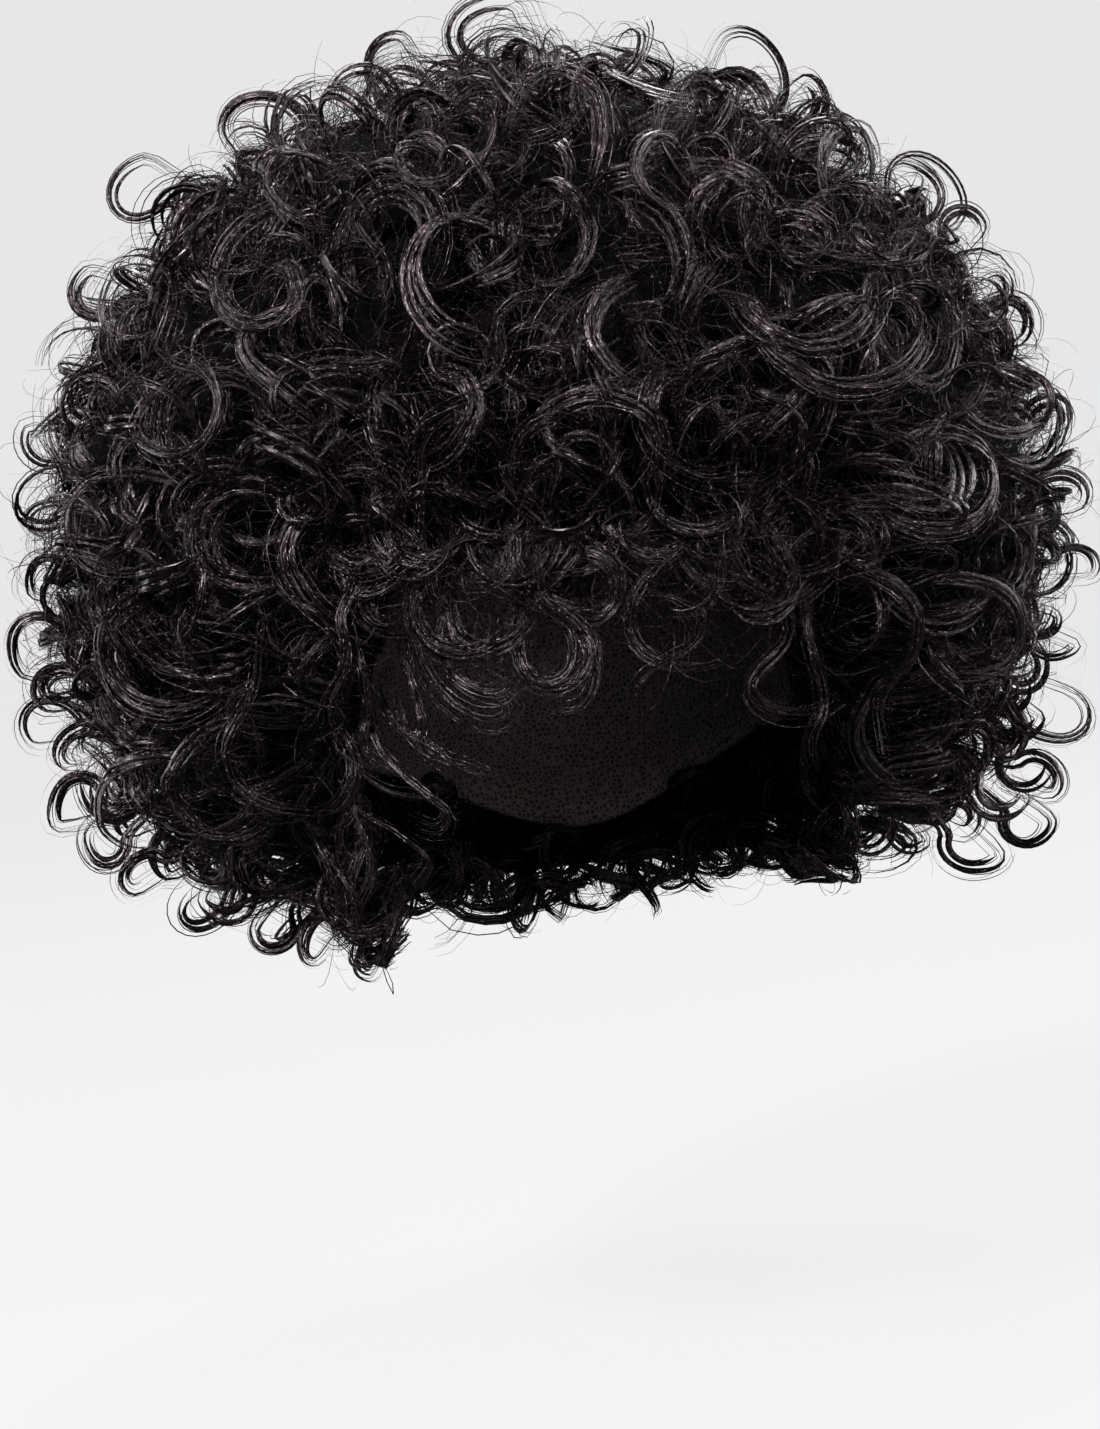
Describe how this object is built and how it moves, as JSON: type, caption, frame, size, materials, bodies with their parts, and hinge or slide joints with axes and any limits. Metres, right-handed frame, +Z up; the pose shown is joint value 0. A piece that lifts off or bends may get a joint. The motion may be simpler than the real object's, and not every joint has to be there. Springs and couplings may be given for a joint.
{
  "type": "afro wig",
  "caption": "Rounded afro wig of tight curls: a thin wearable cap with hair sewn on in sections, a curly fringe over the forehead and an open face.",
  "frame": {"origin": "inside of the cap's crown, where the top of the wearer's head sits", "axes": "+Z up, -Y the way the face looks, +X to the wearer's left; the long way is across the hair, along X"},
  "size_m": [0.3294, 0.2885, 0.2878],
  "materials": {
    "cap_cloth": "matte black stretch net",
    "hair": "black curly hair with a soft sheen"
  },
  "bodies": {
    "root": {"wig_cap": "cap_cloth", "crown_curls": "hair", "fringe_curls": "hair", "left_side_curls": "hair", "right_side_curls": "hair", "back_curls": "hair", "nape_curls": "hair"}
  },
  "joints": []
}
